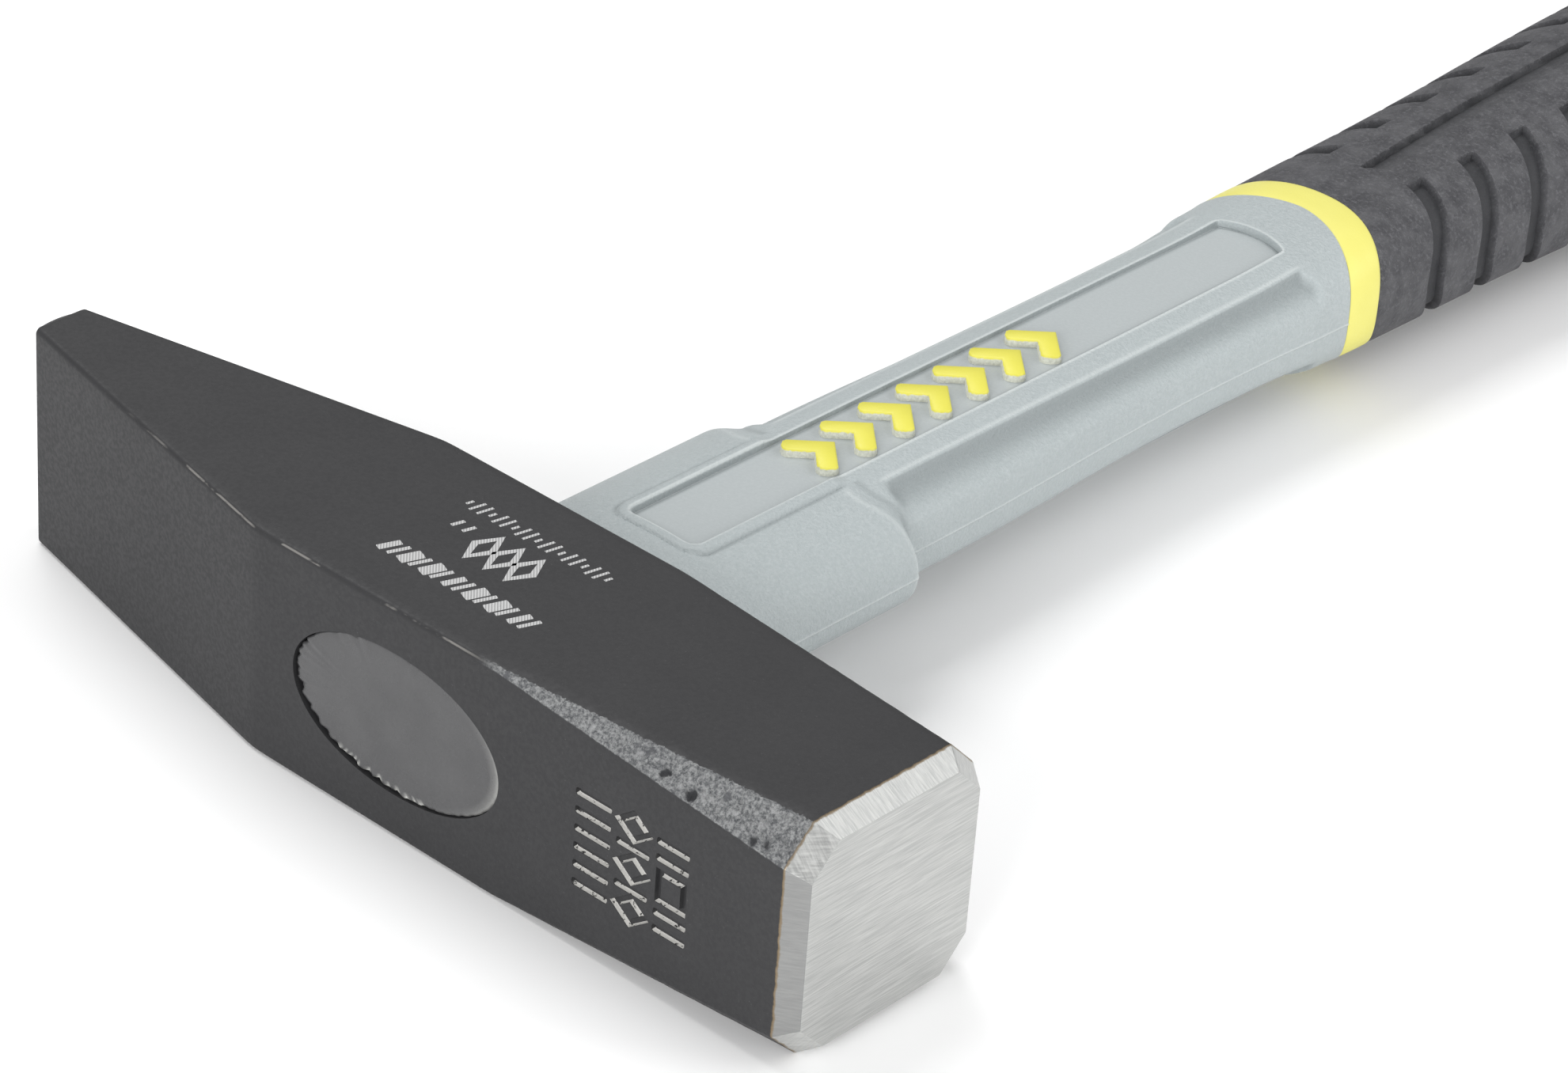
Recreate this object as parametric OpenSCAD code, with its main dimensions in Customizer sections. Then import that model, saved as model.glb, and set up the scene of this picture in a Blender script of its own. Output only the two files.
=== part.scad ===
// Cross-pein engineer's hammer with a moulded, fibre-cored handle.
// Lying flat on one cheek: X along the head (striking face at +X, pein at -X),
// Y along the handle (butt at +Y), Z up. Origin below the eye axis, on the resting plane.

/* [Head] */
// Edge length of the square striking end
head_size = 27; // [25:0.5:29]
// Distance from the eye axis to the striking face
face_reach = 54.9; // [50:0.1:58]
// Distance from the eye axis to the pein tip
pein_reach = 67.2; // [60:0.1:72]
// Distance from the eye axis to the bend where the pein starts to taper
bend_reach = 20.7; // [19:0.1:26]
// Thickness of the pein at its tip
pein_tip = 6.8; // [5:0.1:9]
// Radius of the crown on the pein tip
tip_crown = 10; // [7:0.5:16]
// Width cut off each long corner at the striking end
corner_cut = 3.7; // [2:0.1:4.5]
// Distance from the eye axis to where the corner cuts start
corner_start = 6.5; // [5:0.5:16]
// Length of the ground bevel round the striking face
bevel_length = 2.3; // [1:0.1:3.5]
// Width of the ground bevel round the striking face
bevel_width = 1.5; // [0.8:0.05:2.5]

/* [Eye] */
// Length of the eye at its mouth
eye_length = 29.7; // [28:0.1:30.5]
// Width of the eye at its mouth
eye_width = 16.8; // [16.4:0.1:18]
// Depth of the wide, resin filled mouth
mouth_depth = 9; // [6:0.5:12]
// Length of the narrow part of the eye
seat_length = 26.4; // [25:0.1:27.5]
// Width of the narrow part of the eye
seat_width = 14.4; // [13.5:0.1:15]

/* [Handle] */
// Overall length over head and handle
overall_length = 320; // [300:1:340]
// Diameter of the fibre core
core_d = 9.6; // [8:0.1:10.4]
// Width of the collar behind the head
collar_width = 33.4; // [31.6:0.1:34.4]
// Distance from the eye middle to the end of the collar
collar_reach = 48.5; // [45:0.5:51]
// Thickness of the collar
collar_thick = 16.6; // [16:0.1:18]
// Width of the slim shaft at its ends
shaft_width = 26; // [25:0.1:26.4]
// Width of the slim shaft at its waist
waist_width = 23.6; // [23.2:0.1:24.2]
// Depth of the long label panel at the waist
panel_depth = 0.5; // [0.3:0.05:0.8]
// Width of the long label panel
panel_width = 9.6; // [8:0.1:10]
// Depth of the flutes along the shaft at the waist
flute_depth = 0.5; // [0.3:0.05:0.8]

/* [Grip] */
// Distance from the eye middle to the sides of the coloured band
band_start = 127.2; // [125:0.1:130]
// Length of the coloured band
band_length = 5.7; // [4:0.1:7]
// How far the band bows towards the butt at the middle of the top
band_bow = 5.9; // [3:0.1:6.6]
// Width of the grip where it meets the band
grip_front_width = 25.8; // [25.6:0.1:26.6]
// Greatest width of the grip, at the butt
grip_width = 33; // [31:0.5:35]
// Number of finger grooves on each side of the grip
groove_count = 11; // [5:1:12]
// Distance from one finger groove to the next
groove_pitch = 9.6; // [8:0.1:10]
// Depth of the finger grooves
groove_depth = 0.9; // [0.4:0.1:1.4]

/* [Hidden] */
half = head_size / 2;
eps = 0.02;
reach = 80;
facets = 48;
arc_facets = 160;

eye_end_r = 6.2;
seat_end_r = 5.2;
plug_sink = 0.2;

side_offset = 4.6;
waist_y = 98;
waist_span = 44;
blend_start = 114;
blend_length = 12;
front_end = 146;
front_lead = 2;
front_join = band_start - front_lead;
butt_y = overall_length - half;
belly_y = butt_y - 78;
neck_y = butt_y - 44;
flare_y = butt_y - 12;
belly_swell = 0.75;
neck_swell = 0.6;
butt_round = 4;
station_step = 6;

core_front = 3;
core_end = butt_y - 24;
sleeve_end = butt_y - 12;
sleeve_lead = 12;
sleeve_length = 19.6;
sleeve_width = 12.8;
sleeve_end_r = 5.4;
collar_end_r = 6;
shoulder = 2.4;
shoulder_steps = 4;
half_step = 45 / shoulder_steps;

panel_start = 24.4;
panel_end = 123.4;
panel_bow = 0.9;
panel_floor = waist_width / 2 - side_offset - panel_depth;
flute_r = 6;
flute_tilt = 43;
flute_start = 55.6;
flute_end = 116.6;

mark_count = 7;
mark_start = 47;
mark_pitch = 6.1;
mark_height = 6.2;
mark_stroke = 2;
mark_lean = 2.4;
mark_rise = 1;

bow_loss = 1;
groove_start = 152.6;
groove_r = 9.6;
groove_width = 2.6;
groove_top = 8.2;
groove_inner = 5.4;
top_groove_start = 145;
top_groove_length = 92;
top_groove_width = 1.6;

// Radius of the long arcs of an oval with half axes a and b and end arcs of radius r
function long_r(a, b, r) = (pow(a - r, 2) + b * b - r * r) / (2 * (b - r));
// Radius of an arc that bows by rise over a half chord
function bow_r(chord, rise) = (chord * chord + rise * rise) / (2 * rise);
// Smooth step from 0 to 1
function ease(t) = (1 - cos(180 * max(0, min(1, t)))) / 2;

// Share of the full swell of the grip at a station along the handle
function swell(y) = y < belly_y ? belly_swell * sin(90 * (y - band_start) / (belly_y - band_start))
    : y < neck_y ? belly_swell - (belly_swell - neck_swell) * ease((y - belly_y) / (neck_y - belly_y))
    : neck_swell + (1 - neck_swell) * ease((y - neck_y) / (flare_y - neck_y));
function grip_r(y) = grip_front_width / 2 - side_offset + (grip_width - grip_front_width) / 2 * swell(y);
function shaft_r(y) = shaft_width / 2 - side_offset
    - (shaft_width - waist_width) / 2 * pow(cos(90 * min(1, abs(y - waist_y) / waist_span)), 2);
function blend_r(y) = shaft_r(y) + (grip_r(band_start) - shaft_r(y)) * ease((y - blend_start) / blend_length);

shaft_stations = [for (y = [collar_reach - shoulder:station_step:front_join - station_step / 2])
    [blend_r(y), y]];
front_stations = concat(shaft_stations, [[grip_r(band_start), front_join], [grip_r(front_end), front_end]]);
grip_run = [for (y = [band_start:station_step:flare_y]) [grip_r(y), y]];
butt_arc = [for (t = [0:15:90])
    [grip_r(flare_y) - butt_round * (1 - cos(t)), butt_y - butt_round * (1 - sin(t))]];
grip_stations = concat(grip_run, butt_arc);

// Oval of four tangent arcs
module oval(a, b, r) {
    big = long_r(a, b, r);
    join_x = (a - r) * big / (big - r);
    intersection() {
        translate([0, b - big]) circle(big, $fn = arc_facets);
        translate([0, big - b]) circle(big, $fn = arc_facets);
        square([2 * join_x, 4 * b], center = true);
    }
    for (side = [-1, 1]) translate([side * (a - r), 0]) circle(r, $fn = facets);
}

// Oval bar along Y from y0 to y1, about the middle height of the hammer
module oval_bar(length, width, r, y0, y1) {
    translate([0, y1, half]) rotate([90, 0, 0]) linear_extrude(y1 - y0) oval(length / 2, width / 2, r);
}

// Body with flat top and bottom and round sides, from a list of [radius, y] stations
module round_sided(stations, inset = 0) {
    last = len(stations) - 1;
    line = [for (s = stations) [s[0] - inset, s[1]]];
    turned = concat([[0, line[0][1]]], line, [[0, line[last][1]]]);
    sheet = concat([for (s = line) [s[1], s[0]]], [for (i = [last:-1:0]) [line[i][1], -line[i][0]]]);
    translate([0, 0, half]) {
        for (side = [-1, 1]) translate([side * side_offset, 0, 0]) rotate([-90, 0, 0])
            rotate_extrude($fn = facets) polygon(turned);
        translate([-side_offset, 0, 0]) rotate([90, 0, 90]) linear_extrude(2 * side_offset) polygon(sheet);
    }
}

// Everything in front of an edge that bows towards the butt
module ahead_of(edge, rise) {
    r = bow_r(grip_front_width / 2, rise);
    middle = edge + rise - r;
    translate([-reach / 2, -reach, -reach]) cube([reach, reach + middle, 2 * reach]);
    translate([0, middle, -reach]) cylinder(h = 2 * reach, r = r, $fn = arc_facets);
}

module head_outline() {
    intersection() {
        polygon([
            [-pein_reach, -pein_tip / 2], [-bend_reach, -half], [face_reach, -half],
            [face_reach, half], [-bend_reach, half], [-pein_reach, pein_tip / 2]
        ]);
        union() {
            translate([tip_crown - pein_reach, 0]) circle(tip_crown, $fn = arc_facets);
            translate([tip_crown / 2 - pein_reach, -reach / 2]) square([2 * reach, reach]);
        }
    }
}

// Cutter whose lower side starts at a point and sinks towards the striking face
module sinking_cut(start_x, out, angle) {
    translate([start_x, out, -reach / 2]) rotate([0, 0, -angle]) cube([reach, reach, reach]);
}

module face_cuts() {
    corner = half * sqrt(2);
    bevel_x = face_reach - bevel_length;
    corner_angle = atan2(corner_cut / sqrt(2), bevel_x - corner_start);
    bevel_angle = atan2(bevel_width, bevel_length);
    translate([0, 0, half]) for (turn = [0:90:270]) {
        rotate([turn + 45, 0, 0]) {
            sinking_cut(corner_start, corner, corner_angle);
            sinking_cut(bevel_x, corner - corner_cut / sqrt(2), bevel_angle);
        }
        rotate([turn, 0, 0]) sinking_cut(bevel_x, half, bevel_angle);
    }
}

module head() {
    color([0.16, 0.16, 0.17]) difference() {
        linear_extrude(head_size) head_outline();
        face_cuts();
        oval_bar(eye_length, eye_width, eye_end_r, -half - 1, mouth_depth - half);
        oval_bar(seat_length, seat_width, seat_end_r, mouth_depth - half - eps, half + 1);
    }
}

module core_bar(extra = 0) {
    translate([0, core_end + extra, half]) rotate([90, 0, 0])
        cylinder(h = core_end + extra + half - core_front, d = core_d, $fn = facets);
}

module eye_fill() {
    color([0.35, 0.35, 0.36]) difference() {
        oval_bar(eye_length, eye_width, eye_end_r, plug_sink - half, mouth_depth - half);
        core_bar();
    }
}

module core() {
    color([0.82, 0.78, 0.6]) core_bar();
}

module sleeve() {
    oval_bar(sleeve_length, sleeve_width, sleeve_end_r, band_start - sleeve_lead, sleeve_end);
}

// Collar with a stepped round-over where it drops to the shaft
module collar() {
    for (i = [0:shoulder_steps - 1]) {
        t = 90 * i / shoulder_steps;
        drop = shoulder * (1 - cos(t)) / 2;
        oval_bar(collar_width - 2 * drop, collar_thick - drop / 2, collar_end_r, half,
            collar_reach - shoulder * (1 - sin(t + half_step)));
    }
}

module label_panel(side) {
    length = panel_end - panel_start;
    r = bow_r(panel_width / 2, panel_bow);
    translate([0, panel_start, half]) mirror([0, 0, side]) translate([0, 0, panel_floor])
        linear_extrude(reach / 4) {
            translate([-panel_width / 2, 0]) square([panel_width, length]);
            intersection() {
                translate([0, length + panel_bow - r]) circle(r, $fn = facets);
                translate([-panel_width / 2, length - eps]) square([panel_width, reach / 4]);
            }
        }
}

module flute(turn) {
    distance = waist_width / 2 - side_offset + flute_r - flute_depth;
    side = turn < 180 ? 1 : -1;
    up = turn % 180 == 0 ? 1 : -1;
    x = side * (side_offset + distance * cos(flute_tilt));
    z = half + up * distance * sin(flute_tilt);
    translate([x, flute_start, z]) {
        rotate([-90, 0, 0]) cylinder(h = flute_end - flute_start, r = flute_r, $fn = facets);
        sphere(flute_r, $fn = facets);
        translate([0, flute_end - flute_start, 0]) sphere(flute_r, $fn = facets);
    }
}

module jacket() {
    color([0.7, 0.72, 0.73]) difference() {
        union() {
            oval_bar(seat_length, seat_width, seat_end_r, mouth_depth - half, half + eps);
            collar();
            intersection() {
                round_sided(front_stations);
                ahead_of(band_start, band_bow);
            }
            sleeve();
        }
        core_bar();
        for (side = [0, 1]) label_panel(side);
        for (turn = [0, 90, 180, 270]) flute(turn);
    }
}

// Raised leaning chevrons standing on the floor of the upper label panel
module badge_marks() {
    color([0.95, 0.93, 0.3]) for (i = [0:mark_count - 1])
        translate([0, mark_start + i * mark_pitch, half + panel_floor]) linear_extrude(mark_rise)
            polygon([
                [-mark_height / 2, 0], [0, mark_lean], [mark_height / 2, 0],
                [mark_height / 2, mark_stroke], [0, mark_lean + mark_stroke],
                [-mark_height / 2, mark_stroke]
            ]);
}

module band() {
    color([0.96, 0.95, 0.4]) difference() {
        intersection() {
            round_sided(front_stations);
            ahead_of(band_start + band_length, band_bow - bow_loss);
        }
        ahead_of(band_start, band_bow);
        sleeve();
    }
}

module groove_arcs() {
    for (side = [-1, 1]) for (i = [0:groove_count - 1])
        translate([side > 0 ? groove_inner : -groove_inner - reach / 2, groove_start + i * groove_pitch, half])
            intersection() {
                rotate([0, 90, 0]) difference() {
                    cylinder(h = reach / 2, r = groove_r, $fn = facets);
                    translate([0, 0, -1]) cylinder(h = reach, r = groove_r - groove_width, $fn = facets);
                }
                translate([0, -reach / 2, -groove_top]) cube([reach / 2, reach / 2, 2 * groove_top]);
            }
}

// Straight groove along the middle of the upper side
module top_groove() {
    translate([-top_groove_width / 2, top_groove_start, half])
        cube([top_groove_width, top_groove_length, reach / 2]);
}

module grip() {
    color([0.2, 0.2, 0.21]) difference() {
        round_sided(grip_stations);
        ahead_of(band_start + band_length, band_bow - bow_loss);
        sleeve();
        difference() {
            union() {
                groove_arcs();
                top_groove();
            }
            round_sided(grip_stations, groove_depth);
        }
    }
}

head();
eye_fill();
core();
jacket();
badge_marks();
band();
grip();
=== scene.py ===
# Cross-pein hammer with a moulded handle, lying on one cheek. Lengths are in mm until mesh_object().
import math

import bmesh
import bpy
import numpy as np
from mathutils import Matrix, Vector, noise


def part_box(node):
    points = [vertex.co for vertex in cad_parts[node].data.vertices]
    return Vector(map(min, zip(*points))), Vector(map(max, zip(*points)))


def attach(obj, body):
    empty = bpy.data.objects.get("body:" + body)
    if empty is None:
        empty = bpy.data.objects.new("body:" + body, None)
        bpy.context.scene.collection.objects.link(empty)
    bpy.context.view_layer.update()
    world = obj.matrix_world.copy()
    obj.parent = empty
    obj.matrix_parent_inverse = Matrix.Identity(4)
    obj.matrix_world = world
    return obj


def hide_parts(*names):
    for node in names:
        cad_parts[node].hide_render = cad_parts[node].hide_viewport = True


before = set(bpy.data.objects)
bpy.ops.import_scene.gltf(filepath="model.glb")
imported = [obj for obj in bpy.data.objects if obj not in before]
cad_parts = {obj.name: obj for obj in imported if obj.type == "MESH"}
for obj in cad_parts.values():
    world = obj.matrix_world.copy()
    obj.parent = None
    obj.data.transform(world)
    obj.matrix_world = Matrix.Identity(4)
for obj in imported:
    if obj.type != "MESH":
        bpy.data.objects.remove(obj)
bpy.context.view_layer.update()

MM = 0.001


def mm_box(node):
    low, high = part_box(node)
    return [c / MM for c in low], [c / MM for c in high]


HEAD_LOW, HEAD_HIGH = mm_box("head")
BUTT_Y = mm_box("grip")[1][1]
PEIN_X, FACE_X = HEAD_LOW[0], HEAD_HIGH[0]
HALF = HEAD_HIGH[2] / 2
MID_Z = HALF

# ---------------------------------------------------------------- mesh tools


def smooth(t):
    t = np.clip(t, 0.0, 1.0)
    return t * t * (3 - 2 * t)


def step(low, high, value):
    """0 below low, 1 above high, smooth between; low may be the larger."""
    return smooth((np.asarray(value, float) - low) / (high - low))


def hills(points, size, seed):
    """Smooth noise, about -1 to 1, with hills of a size in mm."""
    shift = Vector((seed * 17.3, seed * 5.1, seed * 9.7))
    flat = np.asarray(points, float).reshape(-1, 3) / size
    made = [noise.noise(Vector(p) + shift) for p in flat]
    return np.array(made).reshape(np.asarray(points).shape[:-1])


SHARP_ANGLE = 32


def mesh_object(name, verts, faces, materials, angle=SHARP_ANGLE):
    """A new object from verts in mm, smooth but for edges sharper than angle degrees."""
    mesh = bpy.data.meshes.new(name)
    mesh.from_pydata((np.asarray(verts, float) * MM).tolist(), [], faces)
    for material in materials:
        mesh.materials.append(material)
    mesh.validate()
    mesh.update()
    made = bpy.data.objects.new(name, mesh)
    bpy.context.scene.collection.objects.link(made)
    soften(made, angle)
    return made


def soften(piece, angle):
    piece.data.shade_smooth()
    piece.data.set_sharp_from_angle(angle=math.radians(angle))


def paint(piece, name, values):
    """Stores one number a vertex for the material to read."""
    layer = piece.data.attributes.new(name, "FLOAT", "POINT")
    layer.data.foreach_set("value", np.asarray(values, np.float32).ravel())


def tube(rings):
    """Verts and faces of a closed tube through rings of equal length, with both ends capped."""
    count, around = rings.shape[:2]
    faces = []
    for i in range(count - 1):
        for j in range(around):
            k = (j + 1) % around
            faces.append((i * around + j, i * around + k, (i + 1) * around + k, (i + 1) * around + j))
    faces.append(tuple(range(around))[::-1])
    faces.append(tuple((count - 1) * around + j for j in range(around)))
    return rings.reshape(-1, 3), faces


def loop_tube(rings):
    """A tube whose last ring joins its first, for a ring shaped piece."""
    count, around = rings.shape[:2]
    faces = []
    for i in range(count):
        n = (i + 1) % count
        for j in range(around):
            k = (j + 1) % around
            faces.append((i * around + j, i * around + k, n * around + k, n * around + j))
    return rings.reshape(-1, 3), faces


def outward(piece):
    """Turns all faces outward."""
    bm = bmesh.new()
    bm.from_mesh(piece.data)
    bmesh.ops.recalc_face_normals(bm, faces=bm.faces)
    bm.to_mesh(piece.data)
    bm.free()


def cut(piece, cutter):
    """Subtracts a closed mesh and drops it."""
    modifier = piece.modifiers.new("cut", "BOOLEAN")
    modifier.operation = "DIFFERENCE"
    modifier.solver = "EXACT"
    modifier.object = cutter
    shape = bpy.data.meshes.new_from_object(piece.evaluated_get(bpy.context.evaluated_depsgraph_get()))
    piece.modifiers.clear()
    piece.data = shape
    bpy.data.objects.remove(cutter)


# ---------------------------------------------------------------- relief: strokes cut in or standing proud

CAP_STEPS = 4


def offset_path(points, distance, closed):
    """The path moved sideways with mitred corners."""
    count = len(points)
    moved = []
    for i in range(count):
        before = points[i - 1] if (closed or i) else None
        after = points[(i + 1) % count] if (closed or i < count - 1) else None
        ways = []
        if before is not None:
            ways.append(np.subtract(points[i], before))
        if after is not None:
            ways.append(np.subtract(after, points[i]))
        normals = [np.array([-w[1], w[0]]) / np.hypot(*w) for w in ways]
        mean = sum(normals) / len(normals)
        mean = mean / max(np.dot(mean, mean), 0.3)
        moved.append(np.asarray(points[i], float) + mean * distance)
    return moved


def stroke_loop(points, width, shrink, bulge=0.55):
    """Outline of an open stroke with round ends."""
    half = width / 2 - shrink
    left, right = offset_path(points, half, False), offset_path(points, -half, False)
    loop = list(left)
    for end, inner in ((points[-1], points[-2]), (points[0], points[1])):
        way = np.subtract(end, inner) / np.hypot(*np.subtract(end, inner))
        side = np.array([-way[1], way[0]])
        for k in range(1, CAP_STEPS):
            a = math.pi * k / CAP_STEPS
            loop.append(np.asarray(end) + side * half * math.cos(a) + way * half * math.sin(a) * bulge)
        if len(loop) < len(left) + CAP_STEPS:
            loop.extend(right[::-1])
    return loop


def relief(strokes, levels, place, bulge=0.55):
    """Verts and faces of strokes: (points, width, closed). levels: (height, shrink) from the bottom up."""
    verts, faces = [], []
    for points, width, closed in strokes:
        if closed:
            rings = []
            for height, shrink in levels:
                half = width / 2 - shrink
                rings.append([[place(*p, height) for p in offset_path(points, side * half, True)]
                              for side in (1, -1)])
            base = len(verts)
            order = [(k, 0) for k in range(len(levels))] + [(k, 1) for k in range(len(levels))[::-1]]
            made, loops = loop_tube(np.array([rings[k][side] for k, side in order]))
            verts.extend(made)
            faces.extend(tuple(base + i for i in f) for f in loops)
        else:
            base = len(verts)
            loops = [[place(*p, height) for p in stroke_loop(points, width, shrink, bulge)]
                     for height, shrink in levels]
            made, ends = tube(np.array(loops))
            verts.extend(made)
            faces.extend(tuple(base + i for i in f) for f in ends)
    return verts, faces


# ---------------------------------------------------------------- node tools


class Nodes:
    """Small helper that builds a node material; sockets go in and come out."""

    def __init__(self, name):
        self.material = bpy.data.materials.new(name)
        self.material.use_nodes = True
        self.tree = self.material.node_tree
        self.shader = self.tree.nodes["Principled BSDF"]
        place = self.new("ShaderNodeTexCoord").outputs["Object"]
        scaled = self.new("ShaderNodeVectorMath", operation="SCALE")
        self.tree.links.new(place, scaled.inputs[0])
        scaled.inputs["Scale"].default_value = 1 / MM
        self.mm = scaled.outputs[0]
        split = self.new("ShaderNodeSeparateXYZ")
        self.tree.links.new(self.mm, split.inputs[0])
        self.x, self.y, self.z = split.outputs

    def new(self, kind, **props):
        node = self.tree.nodes.new(kind)
        for key, value in props.items():
            setattr(node, key, value)
        return node

    def put(self, socket, value):
        if isinstance(value, bpy.types.NodeSocket):
            self.tree.links.new(value, socket)
        elif isinstance(value, tuple) and len(value) == 3 and socket.type == "RGBA":
            socket.default_value = (*value, 1)
        else:
            socket.default_value = value

    def math(self, op, *values):
        node = self.new("ShaderNodeMath", operation=op)
        for socket, value in zip(node.inputs, values):
            self.put(socket, value)
        return node.outputs[0]

    def painted(self, name):
        return self.new("ShaderNodeAttribute", attribute_name=name).outputs["Fac"]

    def add(self, a, b):
        return self.math("ADD", a, b)

    def sub(self, a, b):
        return self.math("SUBTRACT", a, b)

    def mul(self, a, b):
        return self.math("MULTIPLY", a, b)

    def ramp(self, value, low, high, to_low=0.0, to_high=1.0):
        node = self.new("ShaderNodeMapRange", interpolation_type="SMOOTHSTEP")
        for key, v in (("Value", value), ("From Min", low), ("From Max", high),
                       ("To Min", to_low), ("To Max", to_high)):
            self.put(node.inputs[key], v)
        return node.outputs["Result"]

    def noise(self, size, detail=2.0, rough=0.5, stretch=(1, 1, 1), turn=(0, 0, 0), seed=0.0):
        """Noise with features of a size in mm, longer along an axis whose stretch is larger."""
        mapping = self.new("ShaderNodeMapping")
        self.put(mapping.inputs["Vector"], self.mm)
        mapping.inputs["Rotation"].default_value = turn
        mapping.inputs["Scale"].default_value = [1 / (size * s) for s in stretch]
        mapping.inputs["Location"].default_value = (seed, seed * 1.7, seed * 0.6)
        node = self.new("ShaderNodeTexNoise")
        self.put(node.inputs["Vector"], mapping.outputs[0])
        node.inputs["Scale"].default_value = 1.0
        node.inputs["Detail"].default_value = detail
        node.inputs["Roughness"].default_value = rough
        return node.outputs["Fac"]

    def mix(self, share, a, b):
        node = self.new("ShaderNodeMix", data_type="RGBA")
        self.put(node.inputs["Factor"], share)
        self.put(node.inputs[6], a)
        self.put(node.inputs[7], b)
        return node.outputs[2]

    def blend(self, share, a, b):
        node = self.new("ShaderNodeMix", data_type="FLOAT")
        self.put(node.inputs["Factor"], share)
        self.put(node.inputs[2], a)
        self.put(node.inputs[3], b)
        return node.outputs[0]

    def bump(self, height, depth_mm, strength=1.0, after=None):
        node = self.new("ShaderNodeBump")
        node.inputs["Distance"].default_value = depth_mm * MM
        node.inputs["Strength"].default_value = strength
        self.put(node.inputs["Height"], height)
        if after is not None:
            self.put(node.inputs["Normal"], after)
        return node.outputs[0]

    def finish(self, **inputs):
        for key, value in inputs.items():
            self.put(self.shader.inputs[key.replace("_", " ")], value)
        return self.material


def srgb(*levels):
    """Linear colour from 0-255 display levels."""
    return tuple((v / 255 / 12.92) if v <= 10 else ((v / 255 + 0.055) / 1.055) ** 2.4 for v in levels)


# ---------------------------------------------------------------- the head

BEND_X = -20.7
PEIN_TIP = 6.8
TIP_CROWN = 10.0
CUT_START, CUT_FULL = 9.5, 3.7
BEVEL_LENGTH, BEVEL_WIDTH = 2.3, 1.5
INNER_CUT = 3.5
EDGE_CUT = 0.42
EDGE_ROUND = 0.2
GROUND_ROUND = 0.12
BEVEL_X = FACE_X - BEVEL_LENGTH
PEIN_SLOPE = (HALF - PEIN_TIP / 2) / (BEND_X - PEIN_X)
CUT_SLOPE = CUT_FULL / (BEVEL_X - CUT_START)
# points along a flat side, along a corner cut and round its ends
FLAT, BAND, ROUND = 26, 9, 3


def half_width(x):
    """Half the width of the head across Y, with a softly curved bend where the pein starts."""
    t = BEND_X - x
    soft = 0.9
    return HALF - PEIN_SLOPE * (t + math.sqrt(t * t + soft * soft)) / 2


def bezier(a, corner, b, count):
    t = np.linspace(0, 1, count)[:, None]
    return a * (1 - t) ** 2 + 2 * corner * t * (1 - t) + b * t * t


CORNER_SIGNS = ((1, 1), (-1, 1), (-1, -1), (1, -1))
NEAR_TOP = 1


def head_ring(x, hy, hz, cuts, around):
    """One section of the head: eight sides with softened corners, in constant order."""
    corners = []
    for (sy, sz), (cy, cz) in zip(CORNER_SIGNS, cuts):
        a, b = np.array([sy * hy, sz * (hz - cz)]), np.array([sy * (hy - cy), sz * hz])
        way = (b - a) / max(np.hypot(*(b - a)), 1e-6)
        r = min(around, 0.45 * np.hypot(*(b - a)))
        first = bezier(a - np.array([0, sz * r]), a, a + way * r, ROUND)
        last = bezier(b - way * r, b, b - np.array([sy * r, 0]), ROUND)
        t = np.linspace(0, 1, BAND + 2)[1:-1, None]
        corner = np.vstack([first, first[-1] * (1 - t) + last[0] * t, last])
        corners.append(corner if sy * sz > 0 else corner[::-1])
    ring = []
    for i, corner in enumerate(corners):
        after = corners[(i + 1) % 4]
        t = np.linspace(0, 1, FLAT + 2)[1:-1, None]
        ring.append(corner)
        ring.append(corner[-1] * (1 - t) + after[0] * t)
    flat = np.vstack(ring)
    return np.column_stack([np.full(len(flat), x), flat])


def corner_cuts(x):
    """(cut in y, cut in z) of the four long corners; the forged edge at the near top wanders a little."""
    base = max(CUT_SLOPE * (x - CUT_START), 0.0)
    wander = step(12, 20, x) * step(BEVEL_X, BEVEL_X - 4, x)
    cuts = []
    for k in range(4):
        loud = 1.0 if k == NEAR_TOP else 0.0
        ragged = 0.34 * noise.noise(Vector((x / 3.4, k * 9.1, 0)))
        ragged += 0.16 * noise.noise(Vector((x / 1.1, k * 5, 7)))
        calm = 0.1 * noise.noise(Vector((x / 6, k * 3.3, 2)))
        cuts.append((max(base + (ragged - 0.1) * wander * loud, EDGE_CUT),
                     max(base + calm * wander * loud, EDGE_CUT)))
    return cuts


def head_stations():
    tip = PEIN_X + TIP_CROWN - math.sqrt(TIP_CROWN ** 2 - (PEIN_TIP / 2) ** 2)
    runs = ((tip + 0.7, -26, 1.3), (-26, -15, 0.6), (-15, CUT_START, 1.1), (CUT_START, BEVEL_X - 0.1, 0.4))
    xs = [x for low, high, gap in runs for x in np.linspace(low, high, int((high - low) / gap) + 1)[:-1]]
    return tip, xs + [BEVEL_X - 0.12]


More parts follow.
